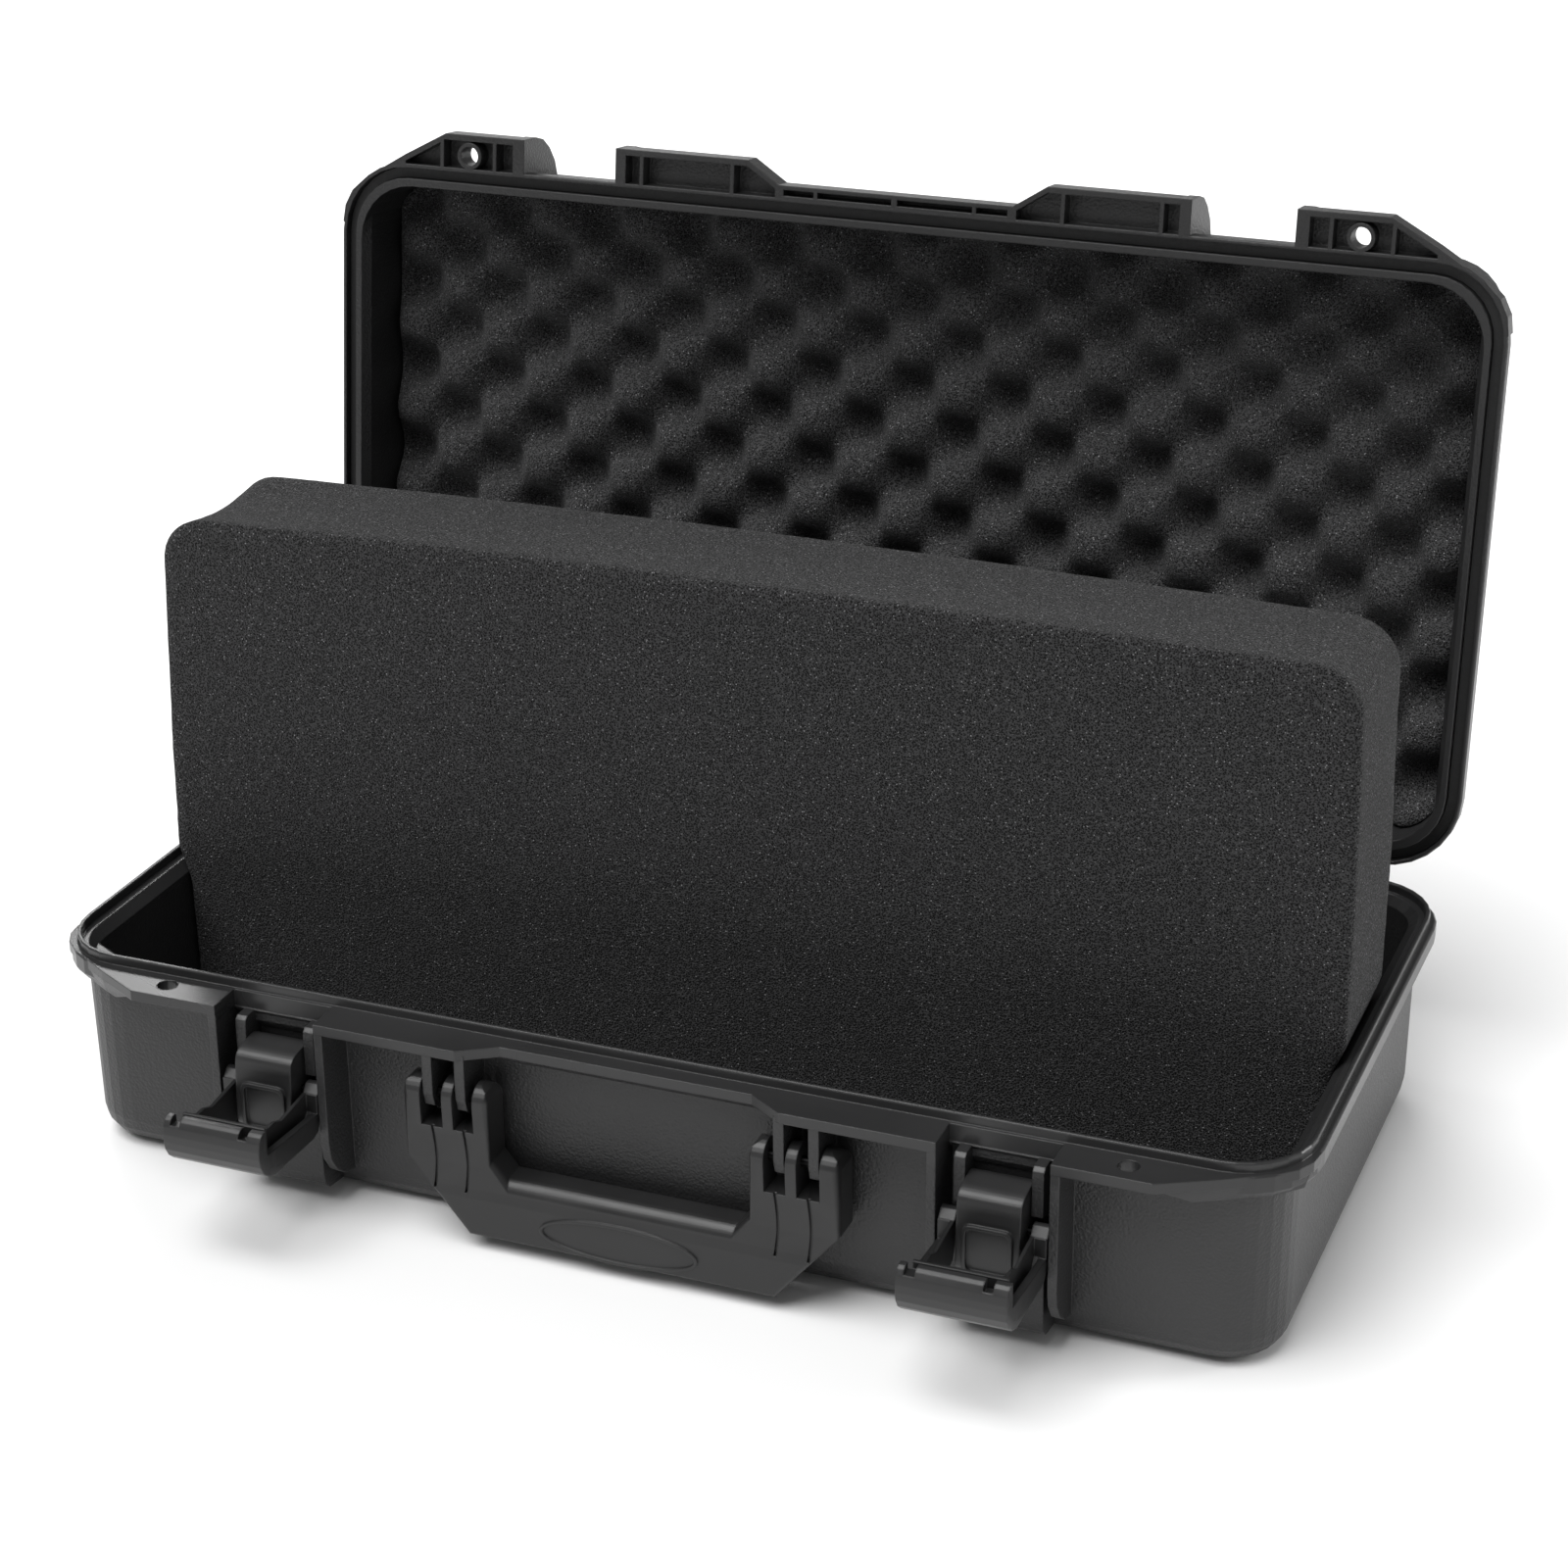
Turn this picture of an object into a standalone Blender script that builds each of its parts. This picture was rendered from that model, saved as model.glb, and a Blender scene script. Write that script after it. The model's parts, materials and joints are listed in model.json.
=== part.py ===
"""A hard equipment case standing open: two moulded shells on rear hinge pins, two draw latches,
a folding carry handle, a wavy lid foam, a bottom pad and a foam block stood on edge in the base.

X runs along the width, the front with the handle faces -Y, Z is up and the floor is at Z = 0.
Sizes below are in millimetres, with heights drawn from a datum 78 mm under the rim; the meshes
are built in metres with the case's underside on the floor.
"""

import math

import bpy
from mathutils import Vector

MM = 0.001
CORNER_STEPS = 7
FILLET_STEPS = 4
ROUND_STEPS = 24
DATUM = Vector((0.0, 0.0, -4.2))

# Shells
RIM_HALF = (250.0, 122.0)
RIM_CORNER = 31.0
RIM_Z = 78.0
WALL_HALF = (242.3, 117.8)
WALL_CORNER = 24.0
DRAFT = 0.6
BASE_FILLET, LID_FILLET = 12.0, 10.0
WALL = 3.6
FLOOR = 3.2
BAND_LOW_Z = 69.0
BASE_MOUTH = (242.6, 116.4)
LID_MOUTH = (241.0, 112.4)
MOUTH_CORNER = 24.4
ROOT_Y, FLANGE_ROOT_Y = -116.6, -117.0
TONGUE_OUT = 2.4
TONGUE_THICK = 2.0
TONGUE_HEIGHT = 3.7
SEAM = 0.4
LID_BAND_TOP = 86.8
LID_TOP_Z = 129.0
LID_ROOF = 3.4
GROOVE = (1.7, 6.4)
GROOVE_TOP = 84.2
GASKET_LOW = 82.0

# Rear hinges
HINGE_Y, HINGE_Z = 126.5, 80.0
LID_OPEN_DEG = 97.2
HINGE_X = (-160.0, 0.0, 160.0)
KNUCKLE_R = 5.6
KNUCKLE_GAP = 0.4
LID_KNUCKLE_HALF = 9.0
HINGE_HALF = 19.0
HINGE_PIN_R = 2.0
PIN_ROOM = 0.15

# Front flanges, latch bays and padlock ears
FLANGE_Y = -136.0
FLANGE_BACK_Y = -127.0
FLANGE_LOW_Z = 73.8
LID_FLANGE_TOP = 88.0
BAY_Y, LID_BAY_Y = -121.0, -121.9
BAY_INNER, BAY_OUTER = 122.8, 164.6
BAY_X = (BAY_INNER + BAY_OUTER) / 2
RIB = 3.4
STEP_IN_X, STEP_OUT_X = 50.0, 64.0
EAR_CORNER = ((201.0, -136.0), (220.0, -125.8), (239.0, -114.4),
              (245.4, -108.6), (248.8, -102.0), (249.8, -95.0))
LOCK_HOLE = (190.0, -127.2)
LOCK_HOLE_R, LOCK_BOSS_R = 4.0, 5.6
SKIN = 2.5
LID_FIN = (4.2, 4.8)
POCKET_Y = (-133.4, -121.8)

# Latches
LEVER_PIVOT = (-125.6, 56.0)
BAIL_PIVOT = (-130.8, 46.5)
LEVER_HALF = 11.8
EAR_IN, EAR_OUT = 12.3, 16.6
CHANNEL = (15.5, 17.4)
ARM_IN = 14.0
BAR_HALF = 20.2
BOSS_HALF = 17.8
LATCH_PIN_R = 1.5

# Handle
HANDLE_PIVOT = (-129.5, 56.5)
HANDLE_Y = (-136.6, -123.0)
HANDLE_KNUCKLE_R = 6.9
HANDLE_PIN_R = 1.9
ARM_X = (51.8, 86.8)
ROUNDING_DEPTHS = (0.0, 0.1, 0.3, 0.6, 1.0, 1.5, 2.1, 2.8, 3.6, 4.6, 6.0, 14.6)
SLOTS = ((57.8, 66.2), (70.4, 79.4))
SLOT_LOW_Z = 44.5
LUGS = ((61.2, 65.2), (74.6, 78.6))
GRIP_RING = (9.6, 32.0, 8.4)
GROOVE_WIDTH, GROOVE_BOW, GROOVE_FLOOR_Y = 1.1, 1.1, -134.7

# Foam
PAD_HALF, PAD_THICK, PAD_CORNER = (231.0, 105.5), 6.0, 15.0
BLOCK_SIDE = ((5.6, 237.4), (66.0, 237.4), (74.0, 238.2), (80.0, 240.3), (231.0, 240.3))
BLOCK_THICK, BLOCK_CORNER = 62.0, 18.0
LID_FOAM_HALF, LID_FOAM_LOW, LID_FOAM_CORNER = (236.0, 111.0), 101.0, 17.0
FIT = 0.3
BLOCK_PIVOT = (40.85, 77.45)

PLASTIC = (0.030, 0.030, 0.031, 1.0)
PLASTIC_DARK = (0.022, 0.022, 0.023, 1.0)
RUBBER = (0.012, 0.012, 0.012, 1.0)
STEEL = (0.46, 0.46, 0.47, 1.0)
FOAM = (0.018, 0.018, 0.019, 1.0)


def clear_scene():
    for obj in list(bpy.data.objects):
        bpy.data.objects.remove(obj)


def material(name, colour, roughness, metallic=0.0):
    made = bpy.data.materials.new(name)
    made.use_nodes = True
    shader = made.node_tree.nodes["Principled BSDF"]
    shader.inputs["Base Color"].default_value = colour
    shader.inputs["Roughness"].default_value = roughness
    shader.inputs["Metallic"].default_value = metallic
    made.diffuse_color = colour
    made.roughness = roughness
    made.metallic = metallic
    return made


def add_object(name, verts, faces, finish=None):
    mesh = bpy.data.meshes.new(name)
    mesh.from_pydata([(Vector(v) - DATUM) * MM for v in verts], [], faces)
    mesh.validate()
    obj = bpy.data.objects.new(name, mesh)
    bpy.context.scene.collection.objects.link(obj)
    if finish:
        mesh.materials.append(finish)
    return obj


def joined(shapes):
    """One list of vertices and faces from several (verts, faces) shapes."""
    verts, faces = [], []
    for more_verts, more_faces in shapes:
        start = len(verts)
        verts += more_verts
        faces += [[start + i for i in face] for face in more_faces]
    return verts, faces


def boolean(target, operation, shapes, overlapping=False):
    """Joins the shapes to target, or cuts them from it, through a hidden helper object."""
    index = len(target.modifiers)
    helper = add_object(f"{target.name}_{operation.lower()}_{index}", *joined(shapes))
    helper.hide_render = True
    helper.display_type = "WIRE"
    modifier = target.modifiers.new(f"{operation.lower()}_{index}", "BOOLEAN")
    modifier.operation = operation
    modifier.solver = "EXACT"
    modifier.use_self = overlapping
    modifier.object = helper
    return helper


def signed_area(outline):
    total = 0.0
    for (x0, y0), (x1, y1) in zip(outline, outline[1:] + outline[:1]):
        total += x0 * y1 - x1 * y0
    return total / 2


def prism(outline, low, high, axis="Z"):
    """A straight prism of a plane outline: (x, y) along Z, (y, z) along X, (z, x) along Y."""
    outline = list(outline)
    if signed_area(outline) < 0:
        outline.reverse()
    place = {
        "Z": lambda a, b, t: (a, b, t),
        "X": lambda a, b, t: (t, a, b),
        "Y": lambda a, b, t: (b, t, a),
    }[axis]
    count = len(outline)
    verts = [place(a, b, low) for a, b in outline] + [place(a, b, high) for a, b in outline]
    faces = [list(range(count - 1, -1, -1)), list(range(count, 2 * count))]
    faces += [[i, (i + 1) % count, (i + 1) % count + count, i + count] for i in range(count)]
    return verts, faces


def box(low, high):
    outline = [(low[0], low[1]), (high[0], low[1]), (high[0], high[1]), (low[0], high[1])]
    return prism(outline, low[2], high[2])


def circle(centre, radius, steps=ROUND_STEPS):
    turns = [2 * math.pi * i / steps for i in range(steps)]
    return [(centre[0] + radius * math.cos(t), centre[1] + radius * math.sin(t)) for t in turns]


def rod(centre, radius, low, high, steps=ROUND_STEPS):
    """A cylinder along X around a (y, z) centre."""
    return prism(circle(centre, radius, steps), low, high, "X")


def mirrored(shape):
    """The same shape on the other side of X = 0."""
    verts, faces = shape
    return [(-x, y, z) for x, y, z in verts], [face[::-1] for face in faces]


def both_sides(shapes):
    return list(shapes) + [mirrored(shape) for shape in shapes]


def ring(half, corner, z):
    """A rounded rectangle as points at one height."""
    points = []
    for quarter, (sx, sy) in enumerate(((1, 1), (-1, 1), (-1, -1), (1, -1))):
        cx, cy = sx * (half[0] - corner), sy * (half[1] - corner)
        for i in range(CORNER_STEPS + 1):
            turn = math.pi / 2 * (quarter + i / CORNER_STEPS)
            points.append((cx + corner * math.cos(turn), cy + corner * math.sin(turn), z))
    return points


def lofted(rings, closed=False):
    """A skin through equal rings: capped at both ends, or joined last to first."""
    size = len(rings[0])
    verts = [point for one in rings for point in one]
    faces = []
    for i in range(len(rings) if closed else len(rings) - 1):
        a, b = i * size, (i + 1) % len(rings) * size
        for j in range(size):
            k = (j + 1) % size
            faces.append([a + j, a + k, b + k, b + j])
    if not closed:
        faces.append(list(range(size - 1, -1, -1)))
        faces.append([(len(rings) - 1) * size + j for j in range(size)])
    return verts, faces


def inset(half, by):
    return (half[0] - by, half[1] - by)


def fillet_rings(half, corner, radius, z, up):
    """Rings of a rounded edge that starts flat at height z and ends on the wall."""
    rings = []
    for i in range(FILLET_STEPS + 1):
        turn = math.pi / 2 * i / FILLET_STEPS
        by = radius * (1 - math.sin(turn))
        rings.append(ring(inset(half, by), corner - by, z + up * radius * (1 - math.cos(turn))))
    return rings


def shell_rings(flat_z, floor_z, up, fillet, band_rings):
    """Rings of an open tray: outside from the closed end to the rim, then inside back again."""
    far = inset(WALL_HALF, DRAFT)
    outer = fillet_rings(far, WALL_CORNER, fillet, flat_z, up)
    inner = fillet_rings(inset(far, WALL), WALL_CORNER - WALL, fillet - WALL - 0.4, floor_z, up)
    return outer + band_rings + inner[::-1]


def base_tray():
    tongue = inset(RIM_HALF, TONGUE_OUT)
    top = RIM_Z + TONGUE_HEIGHT
    corner = RIM_CORNER - TONGUE_OUT
    band = [
        ring(WALL_HALF, WALL_CORNER, BAND_LOW_Z - 1.5),
        ring(inset(RIM_HALF, 1.4), RIM_CORNER - 1.4, BAND_LOW_Z),
        ring(RIM_HALF, RIM_CORNER, BAND_LOW_Z + 2.2),
        ring(RIM_HALF, RIM_CORNER, RIM_Z - 0.7),
        ring(inset(RIM_HALF, 0.7), RIM_CORNER - 0.7, RIM_Z),
        ring(tongue, corner, RIM_Z),
        ring(inset(tongue, 0.1), corner - 0.1, top - 0.6),
        ring(inset(tongue, 0.5), corner - 0.5, top),
        ring(inset(tongue, TONGUE_THICK - 0.4), corner - TONGUE_THICK + 0.4, top),
        ring(inset(tongue, TONGUE_THICK), corner - TONGUE_THICK, top - 0.6),
        ring(inset(tongue, TONGUE_THICK), corner - TONGUE_THICK, RIM_Z),
        ring(BASE_MOUTH, MOUTH_CORNER, RIM_Z),
        ring(inset(WALL_HALF, WALL), WALL_CORNER - WALL, RIM_Z - 4.0),
    ]
    return shell_rings(DATUM.z, DATUM.z + FLOOR, 1, BASE_FILLET, band)


def lid_tray():
    low = RIM_Z + SEAM
    band = [
        ring(WALL_HALF, WALL_CORNER, LID_BAND_TOP + 1.5),
        ring(inset(RIM_HALF, 1.4), RIM_CORNER - 1.4, LID_BAND_TOP),
        ring(RIM_HALF, RIM_CORNER, LID_BAND_TOP - 2.0),
        ring(RIM_HALF, RIM_CORNER, low + 0.6),
        ring(inset(RIM_HALF, 0.6), RIM_CORNER - 0.6, low),
        ring(LID_MOUTH, MOUTH_CORNER, low),
        ring(inset(WALL_HALF, WALL), WALL_CORNER - WALL, low + 5.0),
    ]
    return shell_rings(LID_TOP_Z, LID_TOP_Z - LID_ROOF, -1, LID_FILLET, band)


def rim_channel(slack, low, high):
    """A square ring along the lid's groove, narrower than it by the slack on each side."""
    out, inner = GROOVE[0] + slack, GROOVE[1] - slack
    corners = ((out, low), (out, high), (inner, high), (inner, low))
    return lofted([ring(inset(RIM_HALF, by), RIM_CORNER - by, z) for by, z in corners], closed=True)


def ear_outline():
    """Plan of the corner ear with the padlock hole, on the +X side."""
    front = [(BAY_OUTER, FLANGE_ROOT_Y), (BAY_OUTER, FLANGE_Y), *EAR_CORNER]
    return front + [(247.0, -92.0), (237.0, -110.8), (222.0, -117.2)]


def ear_drop():
    """The ear's corner face carried down below the flange, tapering in toward the wall."""
    low = [(213.0, -128.2), (220.0, -124.6), (239.0, -113.2),
           (246.6, -105.0), (242.0, -98.0), (216.0, -117.0)]
    high = [(202.5, -134.2), (220.0, -125.6), (238.8, -114.2),
            (248.0, -103.0), (244.0, -96.0), (205.0, -117.2)]
    rings = [[(x, y, BAND_LOW_Z) for x, y in low], [(x, y, FLANGE_LOW_Z + 0.4) for x, y in high]]
    return lofted(rings)


def middle_outline():
    """Plan of the flange between the latch bays."""
    half = [(STEP_IN_X, FLANGE_BACK_Y), (STEP_OUT_X, FLANGE_Y), (BAY_INNER, FLANGE_Y)]
    half.append((BAY_INNER, FLANGE_ROOT_Y))
    return [(-x, y) for x, y in reversed(half)] + half


def base_rib_outline():
    return [
        (ROOT_Y, 76.5), (FLANGE_Y + 0.2, 76.5), (FLANGE_Y + 0.2, 27.0), (-134.6, 20.0),
        (-130.5, 13.5), (-124.5, 9.0), (ROOT_Y, 7.0),
    ]


def lid_fin_outline():
    return [
        (ROOT_Y, 80.0), (FLANGE_Y, 80.0), (FLANGE_Y, 90.0), (-134.6, 97.0), (-130.5, 103.5),
        (-124.5, 109.0), (ROOT_Y, 112.5),
    ]


def lock_hole():
    return prism(circle(LOCK_HOLE, LOCK_HOLE_R), RIM_Z - 12, RIM_Z + 16)


def hinge_reliefs(spans):
    """Room around the hinge axis for the other shell's knuckles."""
    radius = KNUCKLE_R + KNUCKLE_GAP + 0.1
    return [rod((HINGE_Y, HINGE_Z), radius, a - KNUCKLE_GAP, b + KNUCKLE_GAP) for a, b in spans]


def spans_of(kind):
    spans = []
    for x in HINGE_X:
        if kind == "lid":
            spans.append((x - LID_KNUCKLE_HALF, x + LID_KNUCKLE_HALF))
        else:
            edge = LID_KNUCKLE_HALF + KNUCKLE_GAP
            spans.append((x - HINGE_HALF, x - edge))
            spans.append((x + edge, x + HINGE_HALF))
    return spans


def arc(centre, radius, start_deg, end_deg, steps):
    turns = [math.radians(start_deg + (end_deg - start_deg) * i / steps) for i in range(steps + 1)]
    return [(centre[0] + radius * math.cos(t), centre[1] + radius * math.sin(t)) for t in turns]


def base_knuckle_outline():
    """The knuckle on its bracket, with a finger behind it that the open lid leans on."""
    outline = [(116.9, 77.4), (116.4, 70.0), (115.6, 52.0), (118.0, 52.0), (135.4, 70.0)]
    outline += [(139.6, 76.0), (139.6, 86.4), (136.3, 86.7), (136.1, 83.4), (134.6, 81.6)]
    return outline + arc((HINGE_Y, HINGE_Z), KNUCKLE_R, 25, 205, 10)


def lid_knuckle_outline():
    outline = [(115.6, 82.0), (115.6, 104.0), (118.0, 104.0), (128.0, 92.0)]
    return outline + arc((HINGE_Y, HINGE_Z), KNUCKLE_R, 25, -205, 14)


def latch_seat(x):
    """Ears, back plate and lower boss of one latch, centred on x."""
    ear = [(ROOT_Y, 71.0), (-127.1, 71.0), (-128.7, 69.6), (-129.0, 67.0), (-129.0, 51.6)]
    ear += [(-126.6, 51.0), (ROOT_Y, 50.0)]
    plate = [(ROOT_Y, 76.0), (-120.9, 76.0), (-120.9, 66.5), (-118.8, 63.4), (ROOT_Y, 62.4)]
    boss = [(ROOT_Y, 40.5), (-128.6, 40.5), (-130.0, 39.0), (-130.0, 9.0), (-129.0, 5.0)]
    boss += [(-126.0, 2.2), (-113.5, 0.5), (-115.0, 4.0), (ROOT_Y, 9.0)]
    shapes = [prism(plate, x - 13.5, x + 13.5, "X"), prism(boss, x - BOSS_HALF, x + BOSS_HALF, "X")]
    for side in (-1, 1):
        low, high = sorted((x + side * EAR_IN, x + side * EAR_OUT))
        shapes.append(prism(ear, low, high, "X"))
    return shapes


def handle_lug_outline():
    front = [(-134.6, 75.5), (-134.6, 57.0), (-133.2, 52.0), (-129.5, 49.6)]
    return [(ROOT_Y, 75.5), *front, (ROOT_Y, 47.0)]


def build_base(finish):
    obj = add_object("base_shell", *lofted(base_tray()), finish)
    flanges = [prism(middle_outline(), FLANGE_LOW_Z, RIM_Z - 0.02)]
    flanges += both_sides([prism(ear_outline(), FLANGE_LOW_Z, RIM_Z - 0.02)])
    boolean(obj, "UNION", flanges)
    boolean(obj, "UNION", both_sides([ear_drop()]))
    lugs = [prism(handle_lug_outline(), a, b, "X") for a, b in LUGS]
    ribs = [prism(base_rib_outline(), BAY_INNER - RIB, BAY_INNER, "X")]
    ribs.append(prism(base_rib_outline(), BAY_OUTER, BAY_OUTER + RIB, "X"))
    boolean(obj, "UNION", both_sides(lugs + ribs))
    boolean(obj, "UNION", both_sides(latch_seat(BAY_X)), overlapping=True)
    boolean(obj, "UNION", [prism(base_knuckle_outline(), a, b, "X") for a, b in spans_of("base")])
    boolean(obj, "DIFFERENCE", hinge_reliefs(spans_of("lid")))
    boolean(obj, "DIFFERENCE", base_cutters(), overlapping=True)
    return obj


def base_cutters():
    """Latch bays, padlock holes, pin bores and the hollow that the joined pieces must not fill."""
    cut = [box((BAY_INNER, -150, 60 + 11), (BAY_OUTER, BAY_Y, 90)), lock_hole()]
    pin = LATCH_PIN_R + PIN_ROOM
    cut.append(rod(LEVER_PIVOT, pin, BAY_X - EAR_OUT + 0.8, BAY_X + EAR_OUT - 0.8, 16))
    cut.append(rod(HANDLE_PIVOT, HANDLE_PIN_R + PIN_ROOM, 50.0, 90.0, 16))
    cut = both_sides(cut)
    for x in HINGE_X:
        half = HINGE_HALF - 1.2
        cut.append(rod((HINGE_Y, HINGE_Z), HINGE_PIN_R + PIN_ROOM, x - half, x + half, 16))
    return cut


def lid_pockets():
    """Weight-saving pockets that open on the mating face of the lid's flange."""
    front, back = POCKET_Y
    plans = []
    for low, high in ((169.8, 177.5), (179.1, 202.0), (111.8, 118.2), (71.4, 110.2)):
        plans.append([(low, back), (low, front), (high, front), (high, back)])
    plans.append([(203.6, back), (203.6, -132.0), (220.0, -123.1), (220.0, back)])
    plans.append([(69.8, back), (69.8, front), (63.9, front), (51.5, -125.4), (51.5, back)])
    for low, high in ((34.7, 47.9), (1.2, 33.1)):
        plans.append([(low, -122.8), (low, -125.2), (high, -125.2), (high, -122.8)])
    return both_sides([prism(plan, RIM_Z - 2, LID_FLANGE_TOP - SKIN) for plan in plans])


def build_lid(finish):
    verts, faces = lofted(lid_tray())
    obj = add_object("lid_shell", verts, [face[::-1] for face in faces], finish)
    low = RIM_Z + SEAM
    flanges = [prism(middle_outline(), low + 0.02, LID_FLANGE_TOP)]
    flanges += both_sides([prism(ear_outline(), low + 0.02, LID_FLANGE_TOP)])
    boolean(obj, "UNION", flanges)
    fins = [prism(lid_fin_outline(), BAY_INNER - LID_FIN[0], BAY_INNER, "X")]
    fins.append(prism(lid_fin_outline(), BAY_OUTER, BAY_OUTER + LID_FIN[1], "X"))
    boolean(obj, "UNION", both_sides(fins))
    boolean(obj, "UNION", [prism(lid_knuckle_outline(), a, b, "X") for a, b in spans_of("lid")])
    boolean(obj, "DIFFERENCE", hinge_reliefs(spans_of("base")))
    boolean(obj, "DIFFERENCE", lid_pockets())
    bosses = [prism(circle(LOCK_HOLE, LOCK_BOSS_R), low + 0.02, LID_FLANGE_TOP - 1.0)]
    boolean(obj, "UNION", both_sides(bosses))
    boolean(obj, "DIFFERENCE", lid_cutters())
    return obj


def lid_cutters():
    """Latch bays, padlock holes, the gasket groove and the hinge pin bores."""
    cut = both_sides([box((BAY_INNER, -150, 70), (BAY_OUTER, LID_BAY_Y, 95)), lock_hole()])
    cut.append(rim_channel(0.0, RIM_Z - 2, GROOVE_TOP))
    half = LID_KNUCKLE_HALF + 2
    for x in HINGE_X:
        cut.append(rod((HINGE_Y, HINGE_Z), HINGE_PIN_R + PIN_ROOM, x - half, x + half, 16))
    return cut


def smooth(points, trim, steps=4):
    """An outline with each corner rounded over the trimmed length of its two sides."""
    rounded = []
    for i, corner in enumerate(points):
        corner = Vector(corner)
        ends = [Vector(points[i - 1]), Vector(points[(i + 1) % len(points)])]
        near = []
        for end in ends:
            side = end - corner
            near.append(corner + side.normalized() * min(trim, side.length * 0.49))
        for k in range(steps + 1):
            t = k / steps
            rounded.append(tuple(near[0].lerp(corner, t).lerp(corner.lerp(near[1], t), t)))
    return rounded


def lever_outline():
    return [
        (-120.2, 50.5), (-119.4, 53.5), (-119.4, 58.0), (-120.8, 61.6), (-123.6, 63.0),
        (-126.0, 63.4), (-134.8, 62.4), (-138.2, 60.6), (-139.2, 57.0), (-140.5, 37.0),
        (-140.5, 32.6), (-138.6, 31.2), (-135.4, 31.6), (-132.5, 35.2), (-131.8, 40.4),
        (-129.2, 42.6), (-125.8, 45.6),
    ]


def build_lever(name, x, finish):
    side = smooth(lever_outline(), 2.2, 3)
    obj = add_object(name, *prism(side, x - LEVER_HALF, x + LEVER_HALF, "X"), finish)
    frame = [(30.6, x - 9.3), (30.6, x + 9.3), (50.4, x + 9.3), (50.4, x - 9.3)]
    window = [(32.0, x - 7.9), (32.0, x + 7.9), (49.0, x + 7.9), (49.0, x - 7.9)]
    boolean(obj, "UNION", [prism(smooth(frame, 3.4), -141.1, -137.5, "Y")])
    boolean(obj, "DIFFERENCE", [prism(smooth(window, 2.6), -150, -139.6, "Y")])
    pivots = (LEVER_PIVOT, BAIL_PIVOT)
    boolean(obj, "DIFFERENCE", [rod(p, LATCH_PIN_R + PIN_ROOM, x - 15, x + 15, 16) for p in pivots])
    return obj


def bail_bar_outline():
    """Section of the latch's crossbar: a curved plate with an upright lip that hooks the lid."""
    return [
        (-173.2, 52.2), (-175.6, 52.2), (-177.0, 51.4), (-178.4, 49.2), (-179.2, 46.0),
        (-179.2, 43.0), (-178.4, 39.4), (-176.4, 35.8), (-173.2, 33.0), (-168.5, 31.4),
        (-163.0, 31.2), (-163.0, 33.6), (-168.0, 34.2), (-168.0, 50.4), (-169.5, 50.4),
        (-169.5, 36.0), (-171.6, 36.0), (-173.2, 38.4),
    ]


def bail_arm_outline():
    """Section of one arm: round at the pivot, then deep and straight out into the crossbar."""
    y, z = BAIL_PIVOT
    tip = arc((y, z), 3.9, -90, 110, 10)
    top = [(y - 3.9, z + 0.8), (y - 23.0, z - 1.1), (y - 28.0, z + 1.0), (-175.6, z + 1.0), (-175.6, 38.0)]
    return tip + top + [(-173.0, 33.6), (-168.5, 31.6), (-140.0, 31.0), (-136.0, 32.2)]


def build_bail(name, x, finish):
    bar = prism(bail_bar_outline(), x - BAR_HALF, x + BAR_HALF, "X")
    obj = add_object(name, *bar, finish)
    for side in (-1, 1):
        low, high = sorted((x + side * ARM_IN, x + side * (BAR_HALF - 0.05)))
        boolean(obj, "UNION", [prism(bail_arm_outline(), low, high, "X")])
    boolean(obj, "DIFFERENCE", bail_cutters(x), overlapping=True)
    return obj


def bail_cutters(x):
    """Thumb scallop, lip notches, the channel and low outer wall of both arms, and the pin hole."""
    y, z = BAIL_PIVOT
    cut = [prism(circle((15.0, x), 17.3, 40), -190, -140, "Y")]
    cut.append(rod((y, z), LATCH_PIN_R + PIN_ROOM, x - 18.4, x + 18.4, 16))
    for low, high, floor in ((-17.6, -13.6, 49.6), (11.0, 14.6, 48.4)):
        cut.append(box((x + low, -178, floor), (x + high, -171, 60)))
    channel = [(-168.0, 36.0), (-168.0, 60.0), (y - 4.6, 60.0), (y - 4.6, 40.0), (-139.0, 36.0)]
    outer = [(-173.0, 42.2), (-173.0, 60.0), (y - 4.6, 60.0), (y - 4.6, 39.4)]
    for side in (-1, 1):
        low, high = sorted(x + side * edge for edge in CHANNEL)
        cut.append(prism(channel, low, high, "X"))
        low, high = sorted((x + side * (CHANNEL[1] - 0.1), x + side * (BAR_HALF + 1.0)))
        cut.append(prism(outer, low, high, "X"))
    return cut


def mitred(outline, insets):
    """The outline with each edge moved inward by its own inset."""
    size = len(outline)
    lines = []
    for i, by in enumerate(insets):
        start, end = Vector(outline[i]), Vector(outline[(i + 1) % size])
        along = (end - start).normalized()
        lines.append((start + Vector((-along.y, along.x)) * by, along))
    points = []
    for i in range(size):
        (a, da), (b, db) = lines[i - 1], lines[i]
        t = (b - a).cross(db) / da.cross(db)
        points.append(tuple(a + da * t))
    return points


def handle_front():
    """Front view of the handle as (x, z, reach, depth): each edge from here on is rounded so."""
    inner, outer = ARM_X
    right = [
        (61.0, 0.0, 2.0, 2.0), (outer, 31.0, 3.8, 3.6), (outer, 58.0, 3.4, 3.4),
        (outer - 1.2, 61.6, 3.0, 3.0), (82.0, 63.6, 3.0, 3.0), (56.4, 63.6, 3.0, 3.0),
        (inner + 1.2, 61.6, 2.6, 2.8), (inner, 58.0, 2.8, 2.8), (inner, 33.0, 4.4, 4.4),
        (46.0, 26.0, 8.4, 6.0),
    ]
    left = []
    for i, (x, z, _, _) in enumerate(right):
        reach, depth = right[i - 1][2:] if i else (1.2, 1.2)
        left.append((-x, z, reach, depth))
    return right + left[::-1]


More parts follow.
